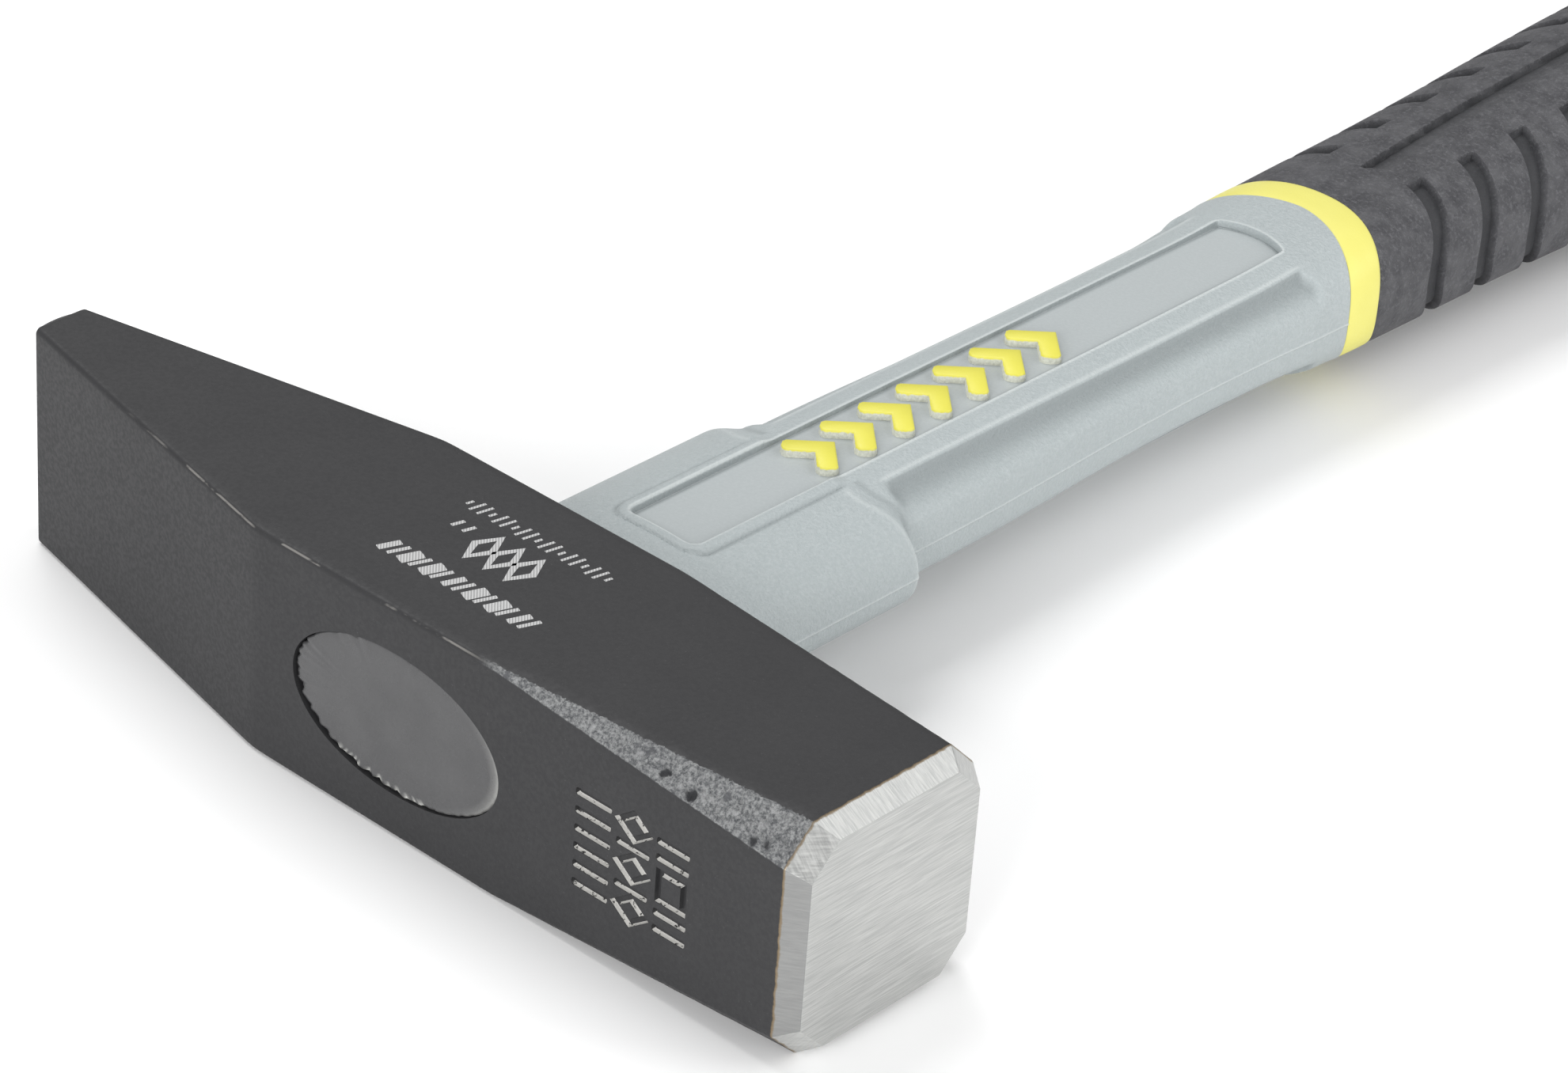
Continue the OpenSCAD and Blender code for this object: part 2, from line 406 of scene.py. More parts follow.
def head_rings():
    tip, xs = head_stations()
    rings = []
    # rounded pein tip with its crown, from the middle outwards
    edge_r = 0.55
    sharp = [(EDGE_CUT, EDGE_CUT)] * 4
    for share in (0.15, 0.4, 0.65, 0.85, 1.0):
        ring = head_ring(0, PEIN_TIP / 2 - edge_r, HALF - edge_r, sharp, EDGE_ROUND)
        ring[:, 1:] *= share
        ring[:, 0] = PEIN_X + TIP_CROWN - np.sqrt(TIP_CROWN ** 2 - ring[:, 1] ** 2)
        rings.append(ring)
    for turn in (25, 50, 75, 90):
        inset = edge_r * (1 - math.sin(math.radians(turn)))
        x = tip + edge_r * (1 - math.cos(math.radians(turn)))
        rings.append(head_ring(x, half_width(x) - inset, HALF - inset, sharp, EDGE_ROUND))
    for x in xs:
        rings.append(head_ring(x, half_width(x), HALF, corner_cuts(x), EDGE_ROUND))
    # the ground bevel, then the flat face with a slightly rounded rim
    for share in (0.0, 0.04, 0.2, 0.4, 0.6, 0.8, 0.94, 0.985):
        size = HALF - 0.05 - (BEVEL_WIDTH - 0.05) * share
        cuts = [(CUT_FULL + (INNER_CUT - CUT_FULL) * share,) * 2] * 4
        rings.append(head_ring(BEVEL_X + BEVEL_LENGTH * share, size, size, cuts, GROUND_ROUND))
    inner = HALF - BEVEL_WIDTH
    inner_cuts = [(INNER_CUT, INNER_CUT)] * 4
    for back, inset in ((0.02, 0.03), (0.0, 0.12)):
        rings.append(head_ring(FACE_X - back, inner - inset, inner - inset, inner_cuts, GROUND_ROUND))
    rim = rings[-1]
    rings.extend(rim * np.array([1, share, share]) for share in (0.85, 0.6, 0.35, 0.12))
    return np.array(rings)


# place along X, share of the way across the band, depth in mm
PITS = ((36.0, 0.42, 0.8), (39.6, 0.2, 0.95), (48.0, 0.14, 0.7), (49.4, 0.24, 0.55), (30.2, 0.5, 0.4),
        (44.6, 0.7, 0.35))


def forge(rings):
    """Scale pits and hammered roughness on the long corner bands."""
    x, y, z = rings[..., 0], rings[..., 1], rings[..., 2]
    cut_depth = np.maximum(CUT_SLOPE * (x - CUT_START), EDGE_CUT)
    outside = np.abs(y) + np.abs(z) - (2 * HALF - cut_depth)
    on_band = step(-0.9, -0.15, outside) * step(CUT_START + 3, 15, x) * step(BEVEL_X, BEVEL_X - 0.8, x)
    on_band = on_band * np.where((y < 0) & (z > 0), 1.0, 0.15)
    rough = 0.13 * hills(rings, 1.5, 1) + 0.08 * hills(rings, 0.7, 2) + 0.1 * hills(rings, 4.0, 3)
    sink = on_band * (0.12 + rough)
    share = np.abs(z) - np.abs(y)
    across = 0.5 + share / (2 * np.maximum(cut_depth, 0.5))
    pitted = np.zeros(x.shape)
    for px, where, depth in PITS:
        near = np.hypot(x - px - 0.5 * (across - where), (across - where) * cut_depth * 1.2)
        near = near + 0.55 * hills(rings, 0.8, 5)
        pitted = pitted + depth * on_band * np.exp(-(near / 0.62) ** 2) * ((y < 0) & (z > 0))
    sink = sink + 0.6 * pitted
    rings[..., 1] -= np.sign(y) * sink / math.sqrt(2)
    rings[..., 2] -= np.sign(z) * sink / math.sqrt(2)
    return rings, pitted


# the eye
EYE_MIDDLE, EYE_LONG, EYE_WIDE, EYE_POWER = 0.15, 14.85, 8.35, 2.05
SEAT_LONG, SEAT_WIDE, SEAT_POWER = 13.2, 7.2, 2.3
MOUTH_FLOOR = 9.0 - HALF
EYE_POINTS = 240


def super_oval(a, b, power, count):
    t = np.linspace(0, 2 * math.pi, count, endpoint=False)
    c, s = np.cos(t), np.sin(t)
    return np.column_stack([a * np.sign(c) * np.abs(c) ** (2 / power),
                            b * np.sign(s) * np.abs(s) ** (2 / power)])


def eye_ring(a, b, y, middle=EYE_MIDDLE, power=EYE_POWER):
    flat = super_oval(a, b, power, EYE_POINTS)
    return np.column_stack([flat[:, 0] + middle, np.full(EYE_POINTS, y), flat[:, 1]])


def eye_cutter():
    rings = [eye_ring(EYE_LONG, EYE_WIDE, -HALF - 2),
             eye_ring(EYE_LONG, EYE_WIDE, MOUTH_FLOOR),
             eye_ring(SEAT_LONG, SEAT_WIDE, MOUTH_FLOOR, 0, SEAT_POWER),
             eye_ring(SEAT_LONG, SEAT_WIDE, HALF + 2, 0, SEAT_POWER)]
    return tube(np.array(rings))


# stamped marks on the eye side


def diamond(u, v, ru, rv):
    return [(u - ru, v), (u, v - rv), (u + ru, v), (u, v + rv)]


def stamp_strokes():
    """Three rows: even bars, diamonds between bars, and a square between bars."""
    strokes = [([(25.7, v), (30.1, v)], 0.9, False) for v in np.linspace(-5.6, 5.0, 6)]
    for k, v in enumerate(np.linspace(-5.2, 4.6, 5)):
        bar = ([(31.3, v), (35.3, v)], 0.9, False)
        strokes.append(bar if k % 2 else (diamond(33.3, v, 2.0, 1.5), 0.8, True))
    for v in (-5.4, -3.5, 2.9, 4.8):
        strokes.append(([(36.6, v), (40.5, v)], 0.9, False))
    strokes.append(([(36.9, -1.9), (40.2, -1.9), (40.2, 1.3), (36.9, 1.3)], 0.8, True))
    return strokes


STAMP_DEPTH = 0.5


def build_head(materials):
    rings, pitted = forge(head_rings())
    verts, faces = tube(rings)
    made = mesh_object("hammer_head", verts, faces, materials)
    # pit depth, which the steel's colour reads as painted shade in the pits
    paint(made, "tone", pitted)
    made.data.transform(Matrix.Translation((0, 0, MID_Z * MM)))
    outward(made)
    verts, faces = eye_cutter()
    cutter = mesh_object("eye_cutter", verts + np.array([0, 0, MID_Z]), faces, [])
    outward(cutter)
    cut(made, cutter)
    levels = [(-STAMP_DEPTH, 0.14), (-STAMP_DEPTH + 0.1, 0.06), (0.0, 0.0), (0.4, -0.12)]
    verts, faces = relief(stamp_strokes(), levels, lambda u, v, h: (u, -HALF - h, v + MID_Z))
    cutter = mesh_object("stamp_cutter", verts, faces, [])
    outward(cutter)
    cut(made, cutter)
    soften(made, SHARP_ANGLE)
    return made


def arc(t, middle, spread):
    """1 at the angle middle, fading to 0 about two spreads away."""
    return np.exp(-(np.angle(np.exp(1j * (t - middle))) / spread) ** 2)


def build_plug(material):
    """Resin plug: slightly domed, uneven at its rim, with a crevice on the pein side."""
    rim = eye_ring(EYE_LONG, EYE_WIDE, 0)
    t = np.linspace(0, 2 * math.pi, EYE_POINTS, endpoint=False)
    toward_pein, below = arc(t, 1.13 * math.pi, 0.75), arc(t, 1.45 * math.pi, 0.5)
    crumbs, fine, flakes = (np.array([noise.noise(Vector((r * math.cos(a), r * math.sin(a), h))) for a in t])
                            for r, h in ((4, 3), (16, 8), (42, 5)))
    above = arc(t, 0.42 * math.pi, 0.6)
    gap = (0.03 + 0.36 * toward_pein * (0.75 + fine) + 0.14 * below * (1 + 2 * fine)
           + 0.5 * (above + 0.4) * np.maximum(fine + 0.5 * crumbs - 0.12, 0))
    profile = ((0.0, 0.0), (0.3, 0.0), (0.6, 0.01), (0.8, 0.02), (0.9, 0.035), (0.955, 0.06), (0.98, 0.09),
               (0.993, 0.16), (1.0, 0.3))
    dirs = rim[:, [0, 2]] - np.array([EYE_MIDDLE, 0])
    length = np.hypot(*dirs.T)
    dirs = dirs / length[:, None]
    rings = []
    for share, drop in profile:
        drop = drop + 0.5 * share ** 2 * 0.35
        reach = (length - gap) * max(share, 0.02)
        p = np.column_stack([EYE_MIDDLE + dirs[:, 0] * reach, np.zeros(EYE_POINTS), dirs[:, 1] * reach])
        wave = 0.05 * hills(p, 5.0, 11) + 0.02 * hills(p, 1.6, 12) * share
        p[:, 1] = -HALF + 0.02 + drop + wave + 0.13 * share ** 8 * (fine + crumbs)
        rings.append(p)
    deep = rings[-1].copy()
    deep[:, 1] = MOUTH_FLOOR - 0.02
    rings.append(deep)
    rings = np.array(rings)
    rings[..., 2] += MID_Z
    verts, faces = tube(rings)
    made = mesh_object("eye_plug", verts, faces, [material], 50)
    outward(made)
    # bright flakes of scraped resin at the lower rim, and a painted highlight as a thin light line towards
    # the face
    at_rim = np.array([step(0.94, 0.975, share) for share, _ in profile] + [0.0])[:, None]
    face_side_highlight = arc(t, -0.1, 0.7)
    flakes_and_highlight = step(0.0, 0.15, flakes) * step(0.25, 0.6, below) + 0.35 * face_side_highlight
    paint(made, "tone", at_rim * flakes_and_highlight[None, :])
    return made


# ---------------------------------------------------------------- handle sections

PARTING_RIDGE = 0.14


def quarter_point(x_nodes, shares, w, b, power):
    """One quarter of an oval section from its top middle to its side; w, b and power change by station."""
    w, b, power = (np.asarray(v, float)[:, None] for v in (w, b, power))
    x = np.minimum(np.atleast_2d(x_nodes), w * 0.995)
    z = b * (1 - (x / w) ** power) ** (1 / power)
    z_side = z[:, -1:] * shares[None, :]
    x_side = w * np.maximum(1 - (z_side / b) ** power, 0) ** (1 / power)
    return np.hstack([x, x_side]), np.hstack([z, z_side])


def full_ring(quarter_x, quarter_z):
    """Four mirrored quarters as a ring, and each point's quarter index."""
    k = quarter_x.shape[1]
    right, left = np.arange(k), np.arange(k)
    order = [(right, 1, 1), (right[-2::-1], 1, -1), (left[1:], -1, -1), (left[-2:0:-1], -1, 1)]
    x = np.hstack([quarter_x[:, i] * sx for i, sx, sz in order])
    z = np.hstack([quarter_z[:, i] * sz for i, sx, sz in order])
    index = np.concatenate([i for i, _, _ in order])
    return x, z, index


def section_normal(x, z, w, b, power):
    w, b, power = (np.asarray(v, float)[:, None] for v in (w, b, power))
    nx = np.sign(x) * (np.abs(x) / w) ** (power - 1) / w
    nz = np.sign(z) * (np.abs(z) / b) ** (power - 1) / b
    size = np.maximum(np.hypot(nx, nz), 1e-9)
    return nx / size, nz / size


BAND_FRONT, BAND_REAR = 133.1, 137.8
FRONT_DROP, REAR_DROP = 5.9, 4.9


def front_edge(x):
    return BAND_FRONT - FRONT_DROP * (np.abs(x) / 12.75) ** 1.6


def rear_edge(x):
    return BAND_REAR - REAR_DROP * (np.abs(x) / 12.8) ** 2.0


# width, height and squareness of the shaft and of the grip
SHAFT_WIDE, WAIST_LOSS, WAIST_Y, WAIST_SPAN = 12.92, 1.12, 98.0, 44.0
SHAFT_HIGH, SHAFT_POWER = 7.6, 2.9
COLLAR = (16.68, 7.75, 2.2)
GRIP_Y = (127, 132, 156, 170, 191, 200, 228, 262, 290, 300)
GRIP_W = (12.7, 12.8, 13.6, 14.3, 15.4, 15.8, 16.15, 15.3, 16.3, 16.4)
GRIP_B = (8.0, 8.2, 8.75, 9.3, 10.0, 10.2, 10.6, 10.2, 11.2, 11.3)
GRIP_POWER = 2.45
BAND_POWER = 2.9


def ease_through(y, ys, values):
    """Smooth curve through stations."""
    ys, values = np.asarray(ys, float), np.asarray(values, float)
    slope = np.gradient(values, ys)
    i = np.clip(np.searchsorted(ys, y) - 1, 0, len(ys) - 2)
    h = ys[i + 1] - ys[i]
    t = np.clip((y - ys[i]) / h, 0, 1)
    return ((2 * t ** 3 - 3 * t ** 2 + 1) * values[i] + (t ** 3 - 2 * t ** 2 + t) * h * slope[i]
            + (3 * t ** 2 - 2 * t ** 3) * values[i + 1] + (t ** 3 - t ** 2) * h * slope[i + 1])


def grip_power(y):
    """Squareness of the grip, which has firmer corners near the band."""
    return BAND_POWER + (GRIP_POWER - BAND_POWER) * step(138, 178, np.asarray(y, float))


def handle_size(y):
    """(w, b, power) of the shaft, blending into the grip."""
    y = np.asarray(y, float)
    waist = np.cos(np.pi / 2 * np.minimum(np.abs(y - WAIST_Y) / WAIST_SPAN, 1)) ** 2
    t = step(113, 131, y)
    w = (SHAFT_WIDE - WAIST_LOSS * waist) * (1 - t) + ease_through(y, GRIP_Y, GRIP_W) * t
    b = SHAFT_HIGH * (1 - t) + ease_through(y, GRIP_Y, GRIP_B) * t
    return w, b, SHAFT_POWER * (1 - t) + grip_power(y) * t


PANEL_HALF, PANEL_START, PANEL_END, PANEL_FLOOR = 4.83, 24.4, 124.8, 6.9
PANEL_BOW = 1.3
FLUTE_START, FLUTE_END, FLUTE_DEPTH = 49.4, 123.9, 1.15


def panel_distance(x, y):
    """Distance outside the edge of the recessed panel, negative inside."""
    across = np.abs(x) - PANEL_HALF
    near_r = 1.3
    near = PANEL_START - y
    far = y - (PANEL_END - PANEL_BOW * (np.abs(x) / PANEL_HALF) ** 2)
    ends = np.maximum(near, far)
    r = np.where(near > far, near_r, 0.35)
    qx, qy = across + r, ends + r
    return np.hypot(np.maximum(qx, 0), np.maximum(qy, 0)) + np.minimum(np.maximum(qx, qy), 0) - r


def jacket_rings():
    runs = ((13.52, 20, 1.0), (20, 26.4, 0.2), (26.4, 43, 0.8), (43, 52.6, 0.2), (52.6, 117, 0.9),
            (117, BAND_FRONT, 0.2))
    runs = [np.linspace(a, b, int(round((b - a) / gap)) + 1)[:-1] for a, b, gap in runs]
    v = np.concatenate([*runs, [BAND_FRONT]])
    # section nodes: x on top, close at the panel's edge, then shares of the height down the flank
    x_nodes = np.array([*np.arange(0, 4.5, 0.5), 4.55, 4.66, 4.74, 4.8, 4.86, 4.93, 5.02, 5.15, 5.4, 5.7, 6.0,
                        6.2, 6.35, 6.5, 6.7, 7.0, 7.4, 7.75, 7.95, 8.08, 8.18])
    shares = np.array([0.985, 0.965, 0.94, 0.91, 0.87, *np.linspace(0.82, 0.1, 19), 0.055, 0.028, 0.0])
    w, b, power = handle_size(v)
    qx, qz = quarter_point(x_nodes, shares, w, b, power)
    cw, cb, cp = (np.full(len(v), c) for c in COLLAR)
    kx, kz = quarter_point(x_nodes, shares, cw, cb, cp)
    # the collar ends in a round shoulder that starts earlier on top than on the side
    shoulder = 45.0 + 1.8 * step(8.0, 14.0, kx)
    t = step(shoulder + 2.3, shoulder + 0.2, v[:, None]) ** 0.7
    qx, qz = qx * (1 - t) + kx * t, qz * (1 - t) + kz * t
    x, z, index = full_ring(qx, qz)
    pull = np.clip((v - 125.6) / (BAND_FRONT - 125.6), 0, 1)[:, None]
    follow = step(119, 124, v) * step(130, 126, v)
    y = v[:, None] - pull * (BAND_FRONT - front_edge(x))
    y = y - PANEL_BOW * np.minimum((x / PANEL_HALF) ** 2, 1.3) * follow[:, None]
    nx, nz = section_normal(x, z, w, b, power)
    # flutes along the flanks, crisp above and soft below
    edge_index = len(x_nodes) - 1
    share = np.concatenate([np.full(edge_index, 2.0), [1.0], shares])[index][None, :]
    u = (1 - share) / 0.56
    flute = step(0.0, 0.13, u) * (1 - step(0.2, 1.0, u)) * (share <= 1)
    end_at = FLUTE_END - 1.2 * (1 - step(0.0, 0.35, u)) - 1.0 * u
    flute_run = step(FLUTE_START, FLUTE_START + 2.2, y) * step(end_at, end_at - 0.9, y) * (share <= 1)
    flute = flute * flute_run
    sink = FLUTE_DEPTH * flute
    x, z = x - nx * sink, z - nz * sink
    # bead round the panel and the lip against the head, both on the collar only
    d = panel_distance(x, y)
    bead = step(-0.05, 0.3, d) * step(1.75, 1.2, d)
    lip = step(23.0, 22.2, y) * step(8.1, 6.6, np.abs(x))
    crease = np.exp(-((d - 1.75) / 0.22) ** 2) * step(8.2, 7.0, np.abs(x)) * step(22.6, 25.0, y)
    on_collar = step(47.2, 45.2, y) * (share > 1)
    z = z + np.sign(z) * on_collar * (0.36 * np.maximum(bead, lip) - 0.16 * crease)
    # recessed label panel
    m = step(0.06, -0.12, d) * (share > 1)
    floor = PANEL_FLOOR + 0.06 * (1 - (x / PANEL_HALF) ** 2)
    z = z * (1 - m) + np.sign(z) * floor * m
    ridge = PARTING_RIDGE * (share == 0)
    x = x + np.sign(x) * ridge
    # painted light and shade for the material: painted highlights on edges above 0, painted shade in hollows
    # below 0
    top_side = share > 1
    # painted highlight on the lip round the panel, painted shade along its inner wall
    tone = 0.9 * step(0.0, 0.12, d) * step(0.62, 0.3, d) * top_side
    tone = tone - 1.0 * step(-0.62, -0.1, d) * step(0.1, 0.0, d) * top_side
    # painted shade on the flute's upper wall fading downwards, and in the crease on the collar
    tone = tone - 1.1 * flute_run * step(0.0, 0.03, u) * np.clip(1 - u, 0, 1) ** 1.5
    tone = tone - 0.8 * on_collar * crease
    # painted highlight along the rail
    rail_highlight = np.exp(-((np.abs(x) - 7.9) / 0.28) ** 2)
    tone = tone + 0.7 * rail_highlight * top_side * step(49, 51, y) * step(124, 122, y)
    # painted highlight on the collar's shoulder, and painted shade just behind it
    tone = tone + 0.5 * np.exp(-((y - shoulder[:, index] - 0.4) / 0.5) ** 2) * (np.abs(x) > 6.6)
    tone = tone - 0.6 * np.exp(-((y - shoulder[:, index] - 2.6) / 0.6) ** 2) * (np.abs(x) > 6.6)
    # painted highlight on the parting ridge
    tone = tone + 0.9 * (share == 0)
    return np.stack([x, y, z], -1), x_nodes, shares, tone


SLEEVE = (9.75, 6.35, 2.4)
SLEEVE_END = BUTT_Y - 12
TANG_END = MOUTH_FLOOR + 0.02


def plain_ring(x_nodes, shares, size, y):
    qx, qz = quarter_point(x_nodes, shares, *(np.array([s]) for s in size))
    x, z, _ = full_ring(qx, qz)
    return np.stack([x, np.broadcast_to(y, x.shape) if np.ndim(y) else np.full(x.shape, y), z], -1)


def build_jacket(material):
    rings, x_nodes, shares, tone = jacket_rings()
    tang = [plain_ring(x_nodes, shares, (SEAT_LONG - 0.06, SEAT_WIDE - 0.06, SEAT_POWER), y)
            for y in (TANG_END, 4.0, 13.49)]
    under = plain_ring(x_nodes, shares, SLEEVE, 0.0)
    under[..., 1] = front_edge(under[..., 0] * 1.25) + 0.02
    tail = plain_ring(x_nodes, shares, SLEEVE, SLEEVE_END)
    rings = np.concatenate([*tang, rings, under, tail])
    rings[..., 2] += MID_Z
    verts, faces = tube(rings)
    made = mesh_object("handle_jacket", verts, faces, [material], 40)
    outward(made)
    plain = np.zeros((1, tone.shape[1]))
    paint(made, "tone", np.concatenate([plain] * 3 + [tone] + [plain] * 2))
    return made


# section nodes: shares of the half width on top, close at the long groove, and of the height on the side
TOP_NODES = np.array([0, 0.03, 0.06, 0.085, *np.arange(0.1, 0.27, 0.012), 0.29, 0.32, 0.35, 0.372, 0.384,
                      0.396, 0.408, 0.43, 0.46, 0.478, 0.49, 0.502, 0.514, 0.54, 0.58, 0.63, 0.68, 0.73, 0.78,
                      0.82, 0.86])
SIDE_NODES = np.array([*np.linspace(0.97, 0.1, 17), 0.05, 0.0])


def oval_rings(w, b, power, inset=0.0):
    """Full rings for stations of half width w, half height b and squareness power."""
    w, b = (np.asarray(v, float) - inset for v in (w, b))
    return full_ring(*quarter_point(np.outer(w, TOP_NODES), SIDE_NODES, w, b, power))


def build_band(material):
    rings = []
    # share of the way along the band, and how far inside the handle's outline
    profile = ((0.0, 0.1), (0.02, 0.0), (0.08, -0.05), (0.3, -0.07), (0.5, -0.08), (0.7, -0.07),
               (0.92, -0.05), (0.98, 0.0), (1.0, 0.1))
    for share, inset in profile:
        mean = BAND_FRONT + (BAND_REAR - BAND_FRONT) * share - 3.0
        w, b = (ease_through(np.array([mean]), GRIP_Y, values) for values in (GRIP_W, GRIP_B))
        x, z, _ = oval_rings(w, b, grip_power([mean]), inset)
        y = front_edge(x) * (1 - share) + rear_edge(x) * share
        rings.append(np.stack([x, y, z], -1)[0])
    for share in (1.0, 0.0):
        x, z, _ = oval_rings([SLEEVE[0] + 0.1], [SLEEVE[1] + 0.1], [GRIP_POWER])
        wide = x * 1.25
        y = front_edge(wide) * (1 - share) + rear_edge(wide) * share
        rings.append(np.stack([x, y, z], -1)[0])
    rings = np.array(rings)
    rings[..., 2] += MID_Z
    verts, faces = loop_tube(rings)
    made = mesh_object("handle_band", verts, faces, [material], 45)
    outward(made)
    return made


GROOVE_COUNT, GROOVE_TOP_Y, GROOVE_PITCH = 15, 149.2, 9.5
GROOVE_HALF, GROOVE_DEPTH, GROOVE_LEAN, GROOVE_R = 1.55, 1.0, 5.2, 9.9
GROOVE_WALLS = np.array([-0.2, -0.08, 0.0, 0.08, 0.2, 0.35])
# where the grooves end on top, as shares of the half width: the striking side, then the pein side
GROOVE_ENDS = 0.39, 0.496
LONG_START, LONG_END, LONG_DEPTH, LONG_RAMP = 146.4, 238.0, 1.0, 3.0
BUTT_ROUND = 4.0


def grip_stations():
    """Ring places up to the rounded butt, closest at the walls of the finger grooves."""
    middles = GROOVE_TOP_Y + GROOVE_PITCH * np.arange(GROOVE_COUNT)
    half = np.concatenate([GROOVE_HALF - GROOVE_WALLS, [0.4]])
    between = np.linspace(GROOVE_HALF + 0.2, GROOVE_PITCH - GROOVE_HALF - 0.2, 7)[1:-1]
    first, last = middles[0] - GROOVE_HALF - 0.2, middles[-1] + GROOVE_HALF + 0.2
    start = BAND_REAR + np.array([0, 0.08, 0.2, 0.4, 0.8])
    lead = np.linspace(start[-1], first, 12)[1:-1]
    tail = np.linspace(last, BUTT_Y - BUTT_ROUND, 12)[1:]
    walls = [m + side for m in middles for side in (-half, half)]
    lands = [m + between for m in middles[:-1]]
    return np.sort(np.concatenate([start, lead, tail, *walls, *lands])), middles


def bowed(v, x, z):
    """Ring v as it lies: it starts along the band, then bows like the finger grooves, and ends square."""
    height = np.minimum(np.abs(z), 9.4)
    bow = (GROOVE_R - np.sqrt(GROOVE_R ** 2 - height ** 2)) * GROOVE_LEAN / 5.14 - GROOVE_LEAN
    v = v[:, None]
    t = step(BAND_REAR, 147.0, v)
    last = GROOVE_TOP_Y + GROOVE_PITCH * (GROOVE_COUNT - 1) + GROOVE_HALF
    return (rear_edge(x) + v - BAND_REAR) * (1 - t) + (v + bow * step(BUTT_Y - 5, last + 1, v)) * t


def long_groove(x, y):
    """Share of depth of the long groove on top: a steep wall, then a ramp towards +x."""
    along = np.maximum(y - LONG_START, 0)
    across = x + 1.3 + 2.6 * (1 - np.exp(-along / 30.0))
    ramp = np.clip(1 - across / LONG_RAMP, 0, 1) * step(-0.08, 0.1, across)
    ramp = ramp * step(LONG_START, LONG_START + 1.0, y - 0.6 * np.maximum(across, 0))
    return ramp * step(LONG_END, LONG_END - 1.5, y)


def build_grip(material):
    main, middles = grip_stations()
    turns = np.radians(np.arange(9, 91, 9))
    v = np.concatenate([main, BUTT_Y - BUTT_ROUND + BUTT_ROUND * np.sin(turns)])
    inset = np.concatenate([np.zeros(len(main)), BUTT_ROUND * (1 - np.cos(turns))])
    w, b = (ease_through(v, GRIP_Y, values) - inset for values in (GRIP_W, GRIP_B))
    power = grip_power(v)
    x, z, _ = oval_rings(w, b, power)
    y = bowed(v, x, z)
    nx, nz = section_normal(x, z, w, b, power)
    share = np.abs(x) / w[:, None]
    off = np.abs(v[:, None] - middles).min(1)
    ends = np.where(x > 0, *GROOVE_ENDS)
    finger = step(GROOVE_HALF + 0.08, GROOVE_HALF - 0.2, off)[:, None]
    finger = finger * step(ends - 0.012, ends + 0.012, share)
    x = x * ease_through(y, GRIP_Y, GRIP_W) / ease_through(v, GRIP_Y, GRIP_W)[:, None]
    z = z * ease_through(y, GRIP_Y, GRIP_B) / ease_through(v, GRIP_Y, GRIP_B)[:, None]
    long_one = long_groove(x, y) * (share < 0.6)
    lip = 0.12 * step(0.5, 0.0, y - rear_edge(x))
    sink = GROOVE_DEPTH * finger + LONG_DEPTH * long_one + lip
    x, z = x - nx * sink, z - nz * sink
    inner = oval_rings([SLEEVE[0] + 0.1], [SLEEVE[1] + 0.1], [GRIP_POWER])
    front = np.stack([inner[0], rear_edge(inner[0] * 1.25), inner[1]], -1)
    rings = np.concatenate([front, np.stack([x, y, z], -1)])
    rings[..., 2] += MID_Z
    verts, faces = tube(rings)
    made = mesh_object("handle_grip", verts, faces, [material], 34)
    outward(made)
    # painted shade for the floors of the finger grooves and the long groove
    tone = np.maximum(finger, np.clip(long_one * 1.7 - 0.7, 0, 1) + 0.3 * (long_one > 0))
    paint(made, "tone", np.concatenate([np.zeros((1, tone.shape[1])), tone]))
    return made


# ---------------------------------------------------------------- badge and print

BADGE_START, BADGE_PITCH, BADGE_COUNT = 48.4, 6.15, 7
BADGE_RISE = 1.0


def build_badge(material):
    strokes = []
    for i in range(BADGE_COUNT):
        y = BADGE_START + i * BADGE_PITCH
        strokes.append(([(-2.8, y - 1.5), (0.2, y + 1.35), (3.2, y - 1.5)], 2.35, False))
    levels = [(-0.06, -0.08), (0.75, 0.02), (0.92, 0.08), (BADGE_RISE, 0.24)]
    verts, faces = relief(strokes, levels, lambda u, v, h: (u, v, MID_Z + PANEL_FLOOR + h))
    made = mesh_object("raised_badge", verts, faces, [material], 50)
    outward(made)
    return made


PRINT_RISE = 0.02


def build_print(material):
    """Three rows of printed symbols: leaning blocks, diamonds and ticks."""
    strokes = []
    for i in range(7):
        x = -9.4 + i * 3.1
        strokes.append(([(x - 0.4, -6.75), (x + 0.5, -4.35)], 1.5 if i % 3 else 0.9, False))
        strokes.append(([(x + 0.95, -6.75), (x + 1.85, -4.35)], 0.55, False))
    for x in (-2.7, 0.2, 3.1):
        strokes.append((diamond(x, 1.2, 1.25, 2.5), 0.8, True))
    for x in (-8.0, -6.4):
        strokes.append(([(x, 1.8), (x + 0.4, 3.3)], 0.5, False))
    for i in range(19):
        x = -9.9 + i * 1.1
        tall = 1.0 if i % 3 else 0.45
        strokes.append(([(x - 0.2 * tall, 6.3 - tall), (x + 0.2 * tall, 6.3 + tall)], 0.36, False))
    levels = [(-0.02, 0.0), (PRINT_RISE, 0.0)]
    verts, faces = relief(strokes, levels, lambda u, v, h: (u, v, 2 * HALF + h), 0.12)
    made = mesh_object("printed_marks", verts, faces, [material], 50)
    outward(made)
    return made


# ---------------------------------------------------------------- materials


